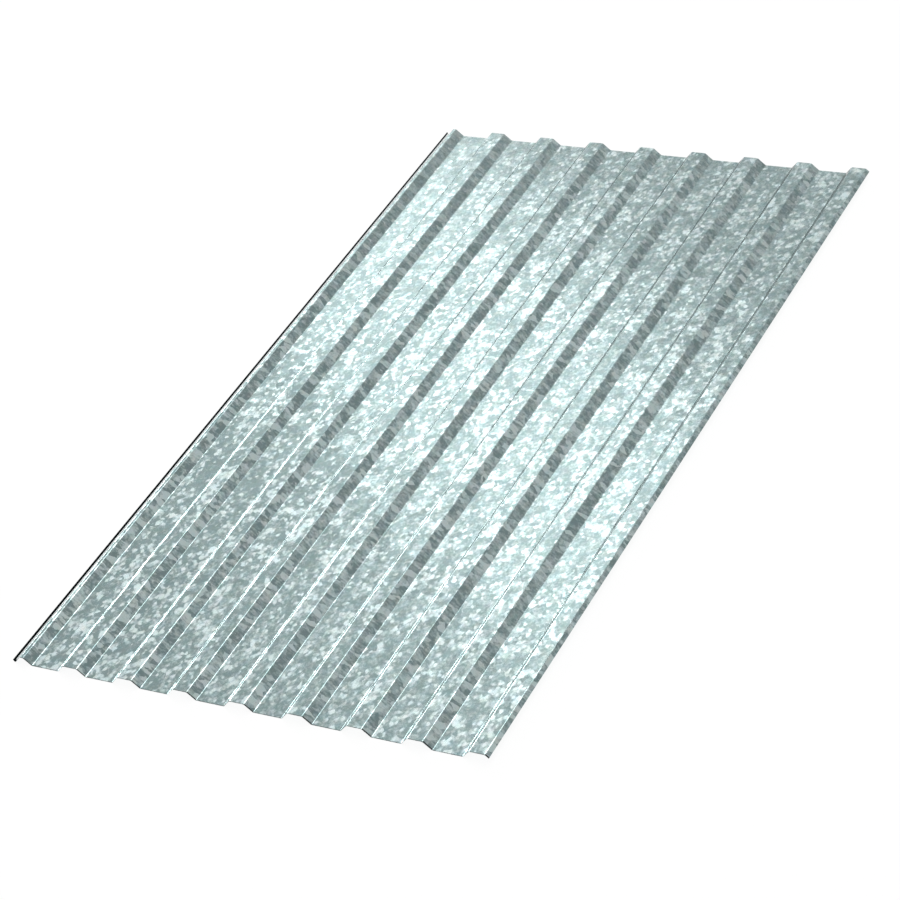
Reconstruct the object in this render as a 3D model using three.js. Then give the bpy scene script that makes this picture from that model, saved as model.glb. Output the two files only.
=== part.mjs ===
// A trapezoidal roofing and wall sheet, roll-formed from one strip of galvanised steel.
// Units are millimetres. The sheet lies on a level floor with its ribs up: X runs across the ribs,
// Y runs along them and Z is up. The origin is on the floor, at the centre of the sheet.

import * as THREE from "three";

// The strip
const THICKNESS = 0.5; // steel core with its zinc on both faces
const LENGTH = 2000; // cut length, along the ribs

// The wave that repeats, between the sharp corners of the section
const WAVES = 8; // whole waves, which is what the sheet covers once its sides are lapped
const PAN_WIDTH = 67.5; // low flat, which lies on the purlins
const RIB_WIDTH = 35; // high flat
const RIB_HEIGHT = 18; // rise from a pan to a rib, like face to like face
const FLANK_RUN = 17.5; // width of one sloping side, seen from above
const BEND_RADIUS = 5; // inside radius of the bends between pans, flanks and ribs

// The underlap side: a narrow rib that goes under the next sheet's last rib, with a small gutter
// along its outer foot that stops creeping rain
const UNDERLAP_RIB_WIDTH = 8;
const GUTTER_RADIUS = 2.5; // inside radius of the gutter's bend
const LIP_RUN = 3.5; // how far the gutter's outer lip leans outwards
const LIP_RISE = 7; // how high the lip stands above the pans

// The overlap side: the last rib turns down and is cut off part of the way down its flank
const OVERLAP_FLANK_RUN = 7.5;

// Facets across each bend
const BEND_FACETS = 8;

const PITCH = RIB_WIDTH + PAN_WIDTH + 2 * FLANK_RUN;
const FLANK_SLOPE = RIB_HEIGHT / FLANK_RUN;

/** A sharp corner of the section's middle line, with the inside radius that it is bent to. */
function corner(x, z, radius = BEND_RADIUS) {
  return { point: new THREE.Vector2(x, z), radius };
}

/** The corners from the gutter's lip to the cut edge of the overlap, with the pans at height 0. */
function sectionCorners() {
  const underlapRibStart = -FLANK_RUN - UNDERLAP_RIB_WIDTH;
  const gutterX = underlapRibStart - FLANK_RUN;
  const corners = [
    corner(gutterX - LIP_RUN, LIP_RISE),
    corner(gutterX, 0, GUTTER_RADIUS),
    corner(underlapRibStart, RIB_HEIGHT),
    corner(-FLANK_RUN, RIB_HEIGHT),
  ];
  for (let wave = 0; wave < WAVES; wave += 1) {
    const panStart = wave * PITCH;
    const panEnd = panStart + PAN_WIDTH;
    const ribStart = panEnd + FLANK_RUN;
    corners.push(
      corner(panStart, 0),
      corner(panEnd, 0),
      corner(ribStart, RIB_HEIGHT),
      corner(ribStart + RIB_WIDTH, RIB_HEIGHT),
    );
  }
  const lastRibEnd = WAVES * PITCH - FLANK_RUN;
  corners.push(corner(lastRibEnd + OVERLAP_FLANK_RUN, RIB_HEIGHT - OVERLAP_FLANK_RUN * FLANK_SLOPE));
  return corners;
}

/** The smallest turn, left positive, from one heading to another. */
function turnBetween(before, after) {
  return THREE.MathUtils.euclideanModulo(after - before + Math.PI, 2 * Math.PI) - Math.PI;
}

/** Draws the face on the right of the middle line, from the first corner to the last. */
function traceFace(outline, corners) {
  const legs = corners.slice(1).map(({ point }, i) => {
    const along = point.clone().sub(corners[i].point).normalize();
    const right = new THREE.Vector2(along.y, -along.x);
    return { along, right, heading: along.angle() };
  });
  const onFace = (point, leg) => point.clone().addScaledVector(leg.right, THICKNESS / 2);
  const lineTo = ({ x, y }) => outline.lineTo(x, y);

  const start = onFace(corners[0].point, legs[0]);
  if (outline.curves.length === 0) outline.moveTo(start.x, start.y);
  else lineTo(start);

  for (let i = 1; i < legs.length; i += 1) {
    const { point, radius } = corners[i];
    const [into, outOf] = [legs[i - 1], legs[i]];
    const turn = turnBetween(into.heading, outOf.heading);
    const side = Math.sign(turn); // 1 where the section bends to the left, -1 to the right
    const middleRadius = radius + THICKNESS / 2;
    const tangentLength = middleRadius * Math.tan(Math.abs(turn) / 2);
    const arcStart = point.clone().addScaledVector(into.along, -tangentLength);
    const centre = arcStart.clone().addScaledVector(into.right, -side * middleRadius);
    const faceRadius = middleRadius + (side * THICKNESS) / 2;
    const startAngle = into.heading - (side * Math.PI) / 2;
    lineTo(onFace(arcStart, into));
    outline.absarc(centre.x, centre.y, faceRadius, startAngle, startAngle + turn, turn < 0);
  }
  lineTo(onFace(corners.at(-1).point, legs.at(-1)));
}

/** The section: along one face of the strip, over its cut edge and back along the other face. */
function sheetSection() {
  const corners = sectionCorners();
  const section = new THREE.Shape();
  traceFace(section, corners);
  traceFace(section, corners.toReversed());
  section.closePath();
  return section;
}

/** The section drawn out along Y, then set on the floor with the origin under its centre. */
function sheetGeometry() {
  const geometry = new THREE.ExtrudeGeometry(sheetSection(), {
    depth: LENGTH,
    bevelEnabled: false,
    curveSegments: BEND_FACETS / 2, // three.js gives an arc two facets for each of these
  });
  geometry.rotateX(Math.PI / 2);
  geometry.computeBoundingBox();
  const { min, max } = geometry.boundingBox;
  return geometry.translate(-(min.x + max.x) / 2, -(min.y + max.y) / 2, -min.z);
}

const galvanisedSteel = new THREE.MeshStandardMaterial({
  name: "galvanised_steel",
  color: new THREE.Color().setRGB(0.66, 0.73, 0.73, THREE.SRGBColorSpace),
  roughness: 0.4,
  metalness: 0.9,
});

const sheet = new THREE.Mesh(sheetGeometry(), galvanisedSteel);
sheet.name = "ribbed_sheet";

const part = new THREE.Group();
part.name = "corrugated_metal_sheet";
part.add(sheet);

export default part;
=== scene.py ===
import math

import bpy
from mathutils import Matrix, Vector


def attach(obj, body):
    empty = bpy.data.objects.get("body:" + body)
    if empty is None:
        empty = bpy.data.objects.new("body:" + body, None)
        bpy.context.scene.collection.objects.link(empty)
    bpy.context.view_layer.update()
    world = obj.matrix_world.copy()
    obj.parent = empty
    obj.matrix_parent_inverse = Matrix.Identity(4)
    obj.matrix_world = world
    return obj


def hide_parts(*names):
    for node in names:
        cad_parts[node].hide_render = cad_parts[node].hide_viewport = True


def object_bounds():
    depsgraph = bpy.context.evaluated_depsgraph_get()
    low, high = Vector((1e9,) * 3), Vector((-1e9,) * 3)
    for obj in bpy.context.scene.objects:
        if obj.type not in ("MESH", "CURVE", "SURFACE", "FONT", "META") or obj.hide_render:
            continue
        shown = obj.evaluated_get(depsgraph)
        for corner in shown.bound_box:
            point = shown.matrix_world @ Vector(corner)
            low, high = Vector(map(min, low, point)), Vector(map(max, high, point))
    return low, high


# A galvanised trapezoidal roofing sheet, lying ribs up on a pale floor. Metres, +Z up. Y runs along
# the ribs from the near end, and X runs across them from the side with the gutter.

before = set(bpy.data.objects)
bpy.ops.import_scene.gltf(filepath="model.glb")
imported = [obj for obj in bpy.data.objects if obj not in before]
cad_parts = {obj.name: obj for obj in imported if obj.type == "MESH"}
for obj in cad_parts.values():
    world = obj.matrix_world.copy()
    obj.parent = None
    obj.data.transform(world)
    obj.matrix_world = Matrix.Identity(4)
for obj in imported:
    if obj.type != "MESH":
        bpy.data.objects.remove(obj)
cad_low, cad_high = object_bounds()

LIP_EDGE = cad_low[0]  # X of the edge of the gutter's lip
NEAR_END = cad_low[1]
FAR_END = cad_high[1]

WHITE = (1, 1, 1, 1)

# Sockets of a Mix node that it uses for colours; its names for them repeat
MIX_SHARE = 0
MIX_FIRST = 6
MIX_SECOND = 7
MIX_RESULT = 2


class Nodes:
    """A node tree, with short calls for the nodes that a finish or a room is built from."""

    def __init__(self, owner):
        owner.use_nodes = True
        self.tree = owner.node_tree
        self.tree.nodes.clear()

    def node(self, kind, **settings):
        made = self.tree.nodes.new(kind)
        for key, value in settings.items():
            setattr(made, key, value)
        return made

    def feed(self, socket, value):
        """Joins an output to a socket, or sets the socket's own value."""
        if isinstance(value, bpy.types.NodeSocket):
            self.tree.links.new(value, socket)
        else:
            socket.default_value = value

    def math(self, operation, first, *others):
        """Works through the values from left to right."""
        result = first
        for other in others:
            made = self.node("ShaderNodeMath", operation=operation)
            self.feed(made.inputs[0], result)
            self.feed(made.inputs[1], other)
            result = made.outputs[0]
        return result

    def add(self, *values):
        return self.math("ADD", *values)

    def take(self, value, less):
        return self.math("SUBTRACT", value, less)

    def times(self, *values):
        return self.math("MULTIPLY", *values)

    def larger(self, *values):
        return self.math("MAXIMUM", *values)

    def vector(self, operation, first, second=(0, 0, 0)):
        made = self.node("ShaderNodeVectorMath", operation=operation)
        self.feed(made.inputs[0], first)
        self.feed(made.inputs["Scale" if operation == "SCALE" else 1], second)
        return made.outputs["Value" if operation == "DOT_PRODUCT" else "Vector"]

    def parts(self, vector):
        made = self.node("ShaderNodeSeparateXYZ")
        self.feed(made.inputs[0], vector)
        return made.outputs

    def spread(self, value, low, high, to_low=0.0, to_high=1.0, smooth=False):
        """Maps low..high to to_low..to_high and holds the ends."""
        made = self.node("ShaderNodeMapRange", clamp=True)
        made.interpolation_type = "SMOOTHSTEP" if smooth else "LINEAR"
        for socket, setting in zip(made.inputs, (value, low, high, to_low, to_high)):
            self.feed(socket, setting)
        return made.outputs[0]

    def swing(self, noise, reach, to_low, to_high):
        """Maps a noise, which swings about one half by the reach, to to_low..to_high."""
        return self.spread(noise, 0.5 - reach, 0.5 + reach, to_low, to_high)

    def noise(self, place, scale, detail, roughness):
        made = self.node("ShaderNodeTexNoise")
        self.feed(made.inputs["Vector"], place)
        self.feed(made.inputs["Scale"], scale)
        self.feed(made.inputs["Detail"], detail)
        self.feed(made.inputs["Roughness"], roughness)
        return made.outputs

    def cells(self, place, scale, softness=None):
        """Cells with hard edges, or soft ones where a softness is given."""
        feature = "F1" if softness is None else "SMOOTH_F1"
        made = self.node("ShaderNodeTexVoronoi", feature=feature)
        self.feed(made.inputs["Vector"], place)
        self.feed(made.inputs["Scale"], scale)
        if softness is not None:
            self.feed(made.inputs["Smoothness"], softness)
        return made.outputs

    def blend(self, share, first, second):
        """Goes from the first colour to the second as the share goes from 0 to 1."""
        made = self.node("ShaderNodeMix", data_type="RGBA")
        self.feed(made.inputs[MIX_SHARE], share)
        self.feed(made.inputs[MIX_FIRST], first)
        self.feed(made.inputs[MIX_SECOND], second)
        return made.outputs[MIX_RESULT]

    def shader(self, kind, values):
        """A shader whose sockets take the values that stand under their names."""
        made = self.node(kind)
        for name, value in values.items():
            self.feed(made.inputs[name], value)
        return made.outputs[0]

    def either(self, share, first, second):
        """Goes from the first shader to the second as the share goes from 0 to 1."""
        made = self.node("ShaderNodeMixShader")
        for socket, value in zip(made.inputs, (share, first, second)):
            self.feed(socket, value)
        return made.outputs[0]

    def output(self, kind, surface):
        made = self.node(kind)
        self.feed(made.inputs["Surface"], surface)


# The sheet: its stock shape with smooth bends

MERGE_DISTANCE = 0.00001
SHARP_ANGLE = 40  # degrees; the facets of a bend meet at less, and the cut edges at more


def sheet_from_stock():
    """The rolled sheet as one smooth-bent piece, from the CAD node's own shape."""
    bpy.ops.object.select_all(action="DESELECT")
    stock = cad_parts["ribbed_sheet"]
    sheet = stock.copy()
    sheet.data = stock.data.copy()
    sheet.name = "rolled_sheet"
    sheet.data.name = "rolled_sheet"
    for key in list(sheet.keys()):
        del sheet[key]
    sheet.parent = None
    bpy.context.scene.collection.objects.link(sheet)
    bpy.context.view_layer.objects.active = sheet
    sheet.select_set(True)
    bpy.ops.object.mode_set(mode="EDIT")
    bpy.ops.mesh.select_all(action="SELECT")
    bpy.ops.mesh.remove_doubles(threshold=MERGE_DISTANCE)
    bpy.ops.mesh.customdata_custom_splitnormals_clear()
    bpy.ops.object.mode_set(mode="OBJECT")
    bpy.ops.object.shade_smooth_by_angle(angle=math.radians(SHARP_ANGLE))
    weighted = sheet.modifiers.new("flats stay flat", "WEIGHTED_NORMAL")
    weighted.mode = "FACE_AREA"
    weighted.keep_sharp = True
    bpy.ops.object.modifier_apply(modifier=weighted.name)
    return sheet


# The zinc

DULL_ZINC = (0.305, 0.408, 0.408, 1)
BRIGHT_ZINC = (0.83, 0.975, 0.975, 1)
DULL_FLANK = (0.312, 0.418, 0.424, 1)
BRIGHT_FLANK = (0.80, 0.95, 0.945, 1)
# A painted highlight, near white, for the gutter
WHITE_PAINTED_HIGHLIGHT = (0.97, 1.0, 1.0, 1)
# Painted shade, near black, inside the gutter's lip and over the gutter at the near end
GUTTER_PAINTED_SHADE = (0.004, 0.009, 0.009, 1)
# A dark band along the near cut end
DARK_END_COLOUR = (0.06, 0.072, 0.072, 1)

# How many of each there are in a metre, roughly
CROWDS = 20.0
CLOUDS = 42.0
CRYSTALS = 50.0
HUES = 60.0
SLABS = 74.0
WANDERS = 80.0
FLAKES = 104.0
FROSTS = 150.0
STREAKS = 210.0

ROLLED_OUT = (1.0, 0.78, 1.0)  # the rollers draw the crystals out along the ribs
DRAWN_UP_FLANK = (0.62, 1.55, 0.62)  # on a flank they lie across the rib
STREAKED_UP_FLANK = (0.25, 1.0, 0.25)
WANDER = 0.0075  # how far the crystals' edges stray from a straight line
FLAKE_SOFTNESS = 0.5

MID_LIGHT = 0.36  # the level that more or less contrast leaves as it is
CONTRAST = 0.92

HUE_DRIFT = (0.36, 0.0, 0.22)
HUE_START = (0.82, 1.0, 0.89)

PAINTED_HIGHLIGHT_ROUGHNESS = 0.5
PAINTED_SHADE_ROUGHNESS = 0.55  # that of the painted shade in the gutter, and that of the dark band along the near cut end

# Each pair below is where a finish starts to change and where it has changed.

# By how far a face points up, which is 0.70 on a flank and 1 on a pan or a rib top
FLANK_TO_FLAT = (0.75, 0.97)

# By how far a face points to the right, which is -0.72 on the left flanks, the ones that face the
# gutter side, 0 on the pans and the rib tops, and 0.72 on the right flanks
LEFT_FLANK_TO_BEND = (-0.62, -0.46)
LEFT_BEND_TO_FLAT = (-0.30, -0.05)
LEFT_BEND_END = (-0.20, -0.03)
FLAT_TO_RIGHT_FLANK = (0.30, 0.55)
OUTSIDE_TO_INSIDE_OF_LIP = (-0.6, -0.5)

# By the place along the ribs
NEAR_TO_FAR = (-0.9, 0.9)
FAR_HALF = (0.2, 0.9)
# Where the painted shade on the gutter side starts, and where it eases off
PAINTED_DIMMING_FROM = (-0.7, -0.2)
DIMMING_EASED_FROM = (0.1, 0.5)

# By the place across the ribs
GUTTER_SIDE_TO_MIDDLE = (-0.50, 0.0)
FIRST_RIBS = (-0.52, -0.24)
MIDDLE_RIBS = (-0.20, 0.30)
LEFT_RIBS = (-0.5, -0.1)
SIDE_TO_SIDE = (-0.5, 0.5)

# The gutter, in widths from the edge of its lip, and the near end, in lengths from the cut
# How far the painted shade reaches in from the lip's edge
PAINTED_SHADE_WIDTH_NEAR = 0.0032
PAINTED_SHADE_WIDTH_FAR = 0.0023
PAINTED_SHADE_EDGE = 0.0006
# How far the painted highlight reaches over the gutter
PAINTED_HIGHLIGHT_WIDTH = 0.00545
PAINTED_HIGHLIGHT_EDGE = 0.001
GUTTER_RIB_START = 0.02145
GUTTER_RIB_EDGE = 0.004
# How far the painted shade over the gutter reaches in from the near end
SHADED_NEAR_END = 0.0055
SHADED_NEAR_END_EDGE = 0.002
# How far the dark band reaches in from the near end
DARK_END_WIDTH = 0.0022
DARK_END_FADE = 0.0012


class Zinc(Nodes):
    """Spangled zinc on a rolled sheet, by the place on the sheet and the way its face points."""

    def __init__(self, owner):
        super().__init__(owner)
        self.place = self.node("ShaderNodeTexCoord").outputs["Object"]
        self.facing = self.node("ShaderNodeNewGeometry").outputs["Normal"]
        self.across, self.along = self.parts(self.place)[:2]
        self.slant, _, upward = self.parts(self.facing)
        self.level = self.spread(upward, *FLANK_TO_FLAT, smooth=True)
        self.gutter_side = self.spread(self.across, *GUTTER_SIDE_TO_MIDDLE, 1.0, 0.0)

        # The crystals, none with a quite straight edge
        self.drawn = self.vector("MULTIPLY", self.place, ROLLED_OUT)
        stray = self.centred(self.noise(self.drawn, WANDERS, 2.0, 0.55)["Color"])
        self.grown = self.vector("ADD", self.drawn, self.vector("SCALE", stray, WANDER))
        self.crystal = self.cells(self.grown, CRYSTALS)["Color"]
        self.tone, _, self.gloss = self.parts(self.crystal)
        self.frost = self.noise(self.grown, FROSTS, 3.0, 0.62)["Fac"]

        # More contrast near the gutter's near end, and less at the far end
        gain = self.times(self.gutter_side, self.near_to_far(0.44, -0.26))
        loss = self.spread(self.along, *FAR_HALF, 0.0, 0.14)
        self.contrast = self.take(self.add(CONTRAST, gain), loss)

    def centred(self, colour):
        """A random colour as a random direction, with its middle at nothing."""
        return self.vector("SUBTRACT", colour, (0.5, 0.5, 0.5))

    def near_to_far(self, near, far):
        return self.spread(self.along, *NEAR_TO_FAR, near, far)

    def flank_to_flat(self, flank, flat):
        """One value on the flanks, and another on the pans and the rib tops."""
        return self.spread(self.level, 0.0, 1.0, flank, flat)

    def flecks(self):
        """Small bright crystals, thick in some places and thin in others."""
        crowd = self.noise(self.drawn, CROWDS, 3.0, 0.6)["Fac"]
        bar = self.swing(crowd, 0.20, 0.36, -0.30)
        flake = self.cells(self.grown, FLAKES, FLAKE_SOFTNESS)
        chosen = self.take(self.parts(flake["Color"])[0], bar)
        fleck = self.spread(chosen, 0.32, 0.98, smooth=True)
        domed = self.spread(flake["Distance"], 0.05, 0.55, 1.75, 0.55, smooth=True)
        lustre = self.spread(self.gloss, 0.0, 1.0, 0.65, 1.35)
        return self.times(fleck, domed, lustre, self.flank_to_flat(0.30, 1.22))

    def blocks(self):
        """A few of the large crystals, on the flats."""
        return self.times(self.math("POWER", self.tone, 3.0), self.flank_to_flat(0.0, 0.18))

    def slabs(self):
        """Long crystals with fine streaks, up the flanks."""
        pulled = self.vector("MULTIPLY", self.grown, DRAWN_UP_FLANK)
        slab = self.math("POWER", self.parts(self.cells(pulled, SLABS)["Color"])[0], 2.6)
        grain = self.vector("MULTIPLY", self.place, STREAKED_UP_FLANK)
        streak = self.noise(grain, STREAKS, 2.0, 0.6)["Fac"]
        slab = self.add(slab, self.swing(streak, 0.15, -0.16, 0.22))
        return self.times(slab, self.flank_to_flat(self.near_to_far(1.42, 1.06), 0.0))

    def light(self):
        """How bright the zinc is, from 0 for dull to 1 for bright."""
        cloud = self.noise(self.drawn, CLOUDS, 3.0, 0.6)["Fac"]
        light = self.add(
            self.flecks(),
            self.blocks(),
            self.slabs(),
            self.swing(self.frost, 0.20, -0.26, 0.34),
            self.swing(cloud, 0.18, -0.20, 0.20),
        )
        light = self.add(MID_LIGHT, self.times(self.take(light, MID_LIGHT), self.contrast))

        # Painted shade: the gutter side is a little darker past the near end, and a little less so
        # towards the far end
        painted_dimming = self.spread(self.along, *PAINTED_DIMMING_FROM, 0.0, 0.10)
        dimming_eased = self.spread(self.along, *DIMMING_EASED_FROM, 0.0, 0.06)
        return self.take(light, self.times(self.gutter_side, self.take(painted_dimming, dimming_eased)))

    def metal_colour(self):
        dull = self.blend(self.level, DULL_FLANK, DULL_ZINC)
        bright = self.blend(self.level, BRIGHT_FLANK, BRIGHT_ZINC)
        colour = self.blend(self.light(), dull, bright)
        drift = self.noise(self.drawn, HUES, 2.0, 0.6)["Color"]
        hue = self.vector("ADD", self.vector("MULTIPLY", drift, HUE_DRIFT), HUE_START)
        colour = self.vector("MULTIPLY", colour, hue)

        # Painted shade: the left flanks are darker, but less so next to the gutter
        shade = self.larger(
            self.spread(self.across, *FIRST_RIBS, 0.66, 0.14),
            self.spread(self.across, *MIDDLE_RIBS, 0.14, 0.26),
        )
        shade = self.spread(self.slant, *LEFT_FLANK_TO_BEND, shade, 1.0)
        return self.vector("SCALE", colour, shade)

    def crystal_normal(self):
        """Each crystal faces its own way, less so on the left bends and least in the gutter."""
        calm = self.spread(self.across, *LEFT_RIBS, 0.75, 0.30)
        gutter_rib = LIP_EDGE + GUTTER_RIB_START
        tilt = self.times(
            self.flank_to_flat(0.06, 0.04),
            self.contrast,
            self.spread(self.slant, *LEFT_BEND_TO_FLAT, calm, 1.0),
            self.spread(self.across, gutter_rib, gutter_rib + GUTTER_RIB_EDGE, 0.15, 1.0),
        )
        lean = self.vector("SCALE", self.centred(self.crystal), tilt)
        return self.vector("NORMALIZE", self.vector("ADD", self.facing, lean))

    def metal_roughness(self):
        """Duller crystals spread the light out further on the left bends."""
        polish = self.spread(self.gloss, 0.0, 1.0, 0.15, 0.22)
        duller = self.times(self.spread(self.slant, *LEFT_BEND_END, 0.30, 0.0), self.gloss)
        return self.add(polish, duller)

    def gutter_painted_highlight(self):
        """A painted highlight: near-white colour all over the gutter."""
        edge = LIP_EDGE + PAINTED_HIGHLIGHT_WIDTH
        return self.spread(self.across, edge, edge + PAINTED_HIGHLIGHT_EDGE, 1.0, 0.0)

    def gutter_painted_shade(self, painted_highlight):
        """Painted shade on the inside of the lip, and all over the gutter at its near end."""
        width = self.spread(self.along, NEAR_END, FAR_END, PAINTED_SHADE_WIDTH_NEAR, PAINTED_SHADE_WIDTH_FAR)
        within = self.take(self.add(width, LIP_EDGE), self.across)
        under_lip = self.spread(within, 0.0, PAINTED_SHADE_EDGE)
        unshaded_from = NEAR_END + SHADED_NEAR_END
        at_end = self.spread(self.along, unshaded_from, unshaded_from + SHADED_NEAR_END_EDGE, 1.0, 0.0)
        inside = self.spread(self.slant, *OUTSIDE_TO_INSIDE_OF_LIP)
        return self.times(self.larger(under_lip, self.times(at_end, painted_highlight)), inside)

    def cut_end(self):
        """A dark band along the near cut end, which reaches further in on the right flanks."""
        flank = self.spread(self.slant, *FLAT_TO_RIGHT_FLANK)
        reach = self.times(flank, self.spread(self.across, *SIDE_TO_SIDE, 0.0003, 0.0017))
        inwards = self.take(self.along, self.add(reach, NEAR_END + DARK_END_WIDTH))
        dark_end = self.spread(inwards, -DARK_END_FADE, 0.0, 1.0, 0.0)
        ragged = self.spread(self.frost, 0.35, 0.60, 0.25, 1.0)
        return self.times(dark_end, self.larger(ragged, flank))


def spangled_zinc():
    material = bpy.data.materials.new("spangled_zinc")
    zinc = Zinc(material)
    painted_highlight = zinc.gutter_painted_highlight()
    painted_shade = zinc.gutter_painted_shade(painted_highlight)
    dark_end = zinc.cut_end()

    # A painted highlight over the gutter, painted shade inside the lip, then the dark band along
    # the near cut end
    colour = zinc.blend(painted_highlight, zinc.metal_colour(), WHITE_PAINTED_HIGHLIGHT)
    colour = zinc.blend(painted_shade, colour, GUTTER_PAINTED_SHADE)
    colour = zinc.blend(dark_end, colour, DARK_END_COLOUR)
    roughness = zinc.larger(
        zinc.metal_roughness(),
        zinc.times(painted_highlight, PAINTED_HIGHLIGHT_ROUGHNESS),
        zinc.times(zinc.larger(painted_shade, dark_end), PAINTED_SHADE_ROUGHNESS),
    )

    metal = zinc.shader(
        "ShaderNodeBsdfPrincipled",
        {
            "Metallic": 1.0,
            "Base Color": colour,
            "Roughness": roughness,
            "Normal": zinc.crystal_normal(),
        },
    )
    zinc.output("ShaderNodeOutputMaterial", metal)
    return material


sheet = sheet_from_stock()
sheet.data.materials.clear()
sheet.data.materials.append(spangled_zinc())
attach(sheet, "root")
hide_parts("ribbed_sheet")


# The studio

FLOOR_SIZE = 60
FLOOR_PAINT = (0.92, 0.92, 0.92, 1)
FLOOR_GLOW = 1.06
FLOOR_GLOW_SHARE = 0.85  # where it is seen or mirrored; the rest is paint, which takes shadow

DARK_CARD = (0.61, 0.64, 0.465)  # the direction of the middle of the card
ROUND_THE_CARD = (0.80, 0.97)  # cosines of the angle from its middle, at its edge and inside it
CARD_STRENGTH = 0.68  # the share of the room's light that it leaves
HORIZON_TO_CEILING = (0.0, 0.45)
ROOM_STRENGTH = 0.42
CEILING_STRENGTH = 0.70
BACKDROP_TOP = (0.02, 0.04)

CAMERA_PLACE = (3.162285, -4.3426, 3.8836)
CAMERA_TURN = (52.4111, 12.1148, 27.5222)  # degrees
CAMERA_LENS = 120.004  # millimetres
CAMERA_FRAME = 36  # millimetres
CAMERA_SIGHT = 100  # how far it sees

BAND_RUN = (-0.66, 0.166, -0.733)  # the long way of the lamps that make the sheet's bright band
LAMP_DISTANCE = 8.0


def pale_floor():
    bpy.ops.object.select_all(action="DESELECT")
    bpy.ops.mesh.primitive_plane_add(size=FLOOR_SIZE, location=(0, 0, 0))
    floor = bpy.context.object
    floor.name = "floor"
    material = bpy.data.materials.new("floor_paint")
    paint = Nodes(material)
    board = paint.shader("ShaderNodeBsdfDiffuse", {"Color": FLOOR_PAINT})
    glow = paint.shader("ShaderNodeEmission", {"Color": WHITE, "Strength": FLOOR_GLOW})
    ray = paint.node("ShaderNodeLightPath").outputs
    seen = paint.larger(ray["Is Camera Ray"], ray["Is Glossy Ray"], ray["Is Transmission Ray"])
    surface = paint.either(paint.times(seen, FLOOR_GLOW_SHARE), board, glow)
    paint.output("ShaderNodeOutputMaterial", surface)
    floor.data.materials.append(material)


def studio_air():
    """A pale room with a soft dark card on the far right, and white where the backdrop is seen."""
    world = bpy.data.worlds.new("studio_air")
    bpy.context.scene.world = world
    air = Nodes(world)
    heading = air.node("ShaderNodeTexCoord").outputs["Generated"]
    height = air.parts(heading)[2]
    card = air.vector("DOT_PRODUCT", heading, DARK_CARD)
    strength = air.times(
        air.spread(card, *ROUND_THE_CARD, 1.0, CARD_STRENGTH, smooth=True),
        air.spread(height, *HORIZON_TO_CEILING, ROOM_STRENGTH, CEILING_STRENGTH, smooth=True),
    )
    room = air.shader("ShaderNodeBackground", {"Color": WHITE, "Strength": strength})
    backdrop = air.shader("ShaderNodeBackground", {"Color": WHITE, "Strength": 1.0})
    ray = air.node("ShaderNodeLightPath").outputs
    mirrored = air.larger(ray["Is Glossy Ray"], ray["Is Transmission Ray"])
    low = air.spread(height, *BACKDROP_TOP, 1.0, 0.0)
    seen = air.larger(ray["Is Camera Ray"], air.times(mirrored, low))
    air.output("ShaderNodeOutputWorld", air.either(seen, room, backdrop))


def softbox(name, toward, width, length, radiance, run, distance=LAMP_DISTANCE):
    """A rectangular lamp far off in a direction, whose face shows the given radiance.

    Its length lies along the run.
    """
    back = Vector(toward).normalized()
    place = back * distance
    bpy.ops.object.select_all(action="DESELECT")
    bpy.ops.object.light_add(type="AREA", location=place)
    lamp = bpy.context.object
    lamp.name = name
    lamp.data.shape = "RECTANGLE"
    lamp.data.size = width
    lamp.data.size_y = length
    lamp.data.energy = radiance * math.pi * width * length
    lamp.visible_camera = False
    across = Vector(run).cross(back).normalized()
    upright = back.cross(across)
    turn = Matrix((across, upright, back)).transposed().to_4x4()
    lamp.matrix_world = Matrix.Translation(place) @ turn


def studio_lamps():
    softbox(
        "band_light",
        toward=(-0.472, 0.666, 0.576),
        width=1.4,
        length=5.0,
        radiance=0.84,
        run=BAND_RUN,
    )
    # The glow stands behind the band light, because two lamps in one plane lose light
    softbox(
        "band_glow",
        toward=(-0.497, 0.637, 0.588),
        width=2.9,
        length=6.0,
        radiance=0.16,
        run=BAND_RUN,
        distance=LAMP_DISTANCE + 1,
    )
    softbox(
        "top_light",
        toward=(-0.04, 0.48, 0.876),
        width=1.3,
        length=3.4,
        radiance=2.8,
        run=(1, 0, 0),
    )
    softbox(
        "left_light",
        toward=(-0.81, 0.50, 0.21),
        width=2.1,
        length=2.7,
        radiance=9.0,
        run=(0, 0, 1),
    )


def studio_camera():
    turn = [math.radians(angle) for angle in CAMERA_TURN]
    bpy.ops.object.camera_add(location=CAMERA_PLACE, rotation=turn)
    camera = bpy.context.object
    camera.name = "camera"
    camera.data.sensor_width = CAMERA_FRAME
    camera.data.lens = CAMERA_LENS
    camera.data.clip_end = CAMERA_SIGHT
    bpy.context.scene.camera = camera


pale_floor()
studio_air()
studio_lamps()
studio_camera()

bpy.context.scene.view_settings.view_transform = "Standard"
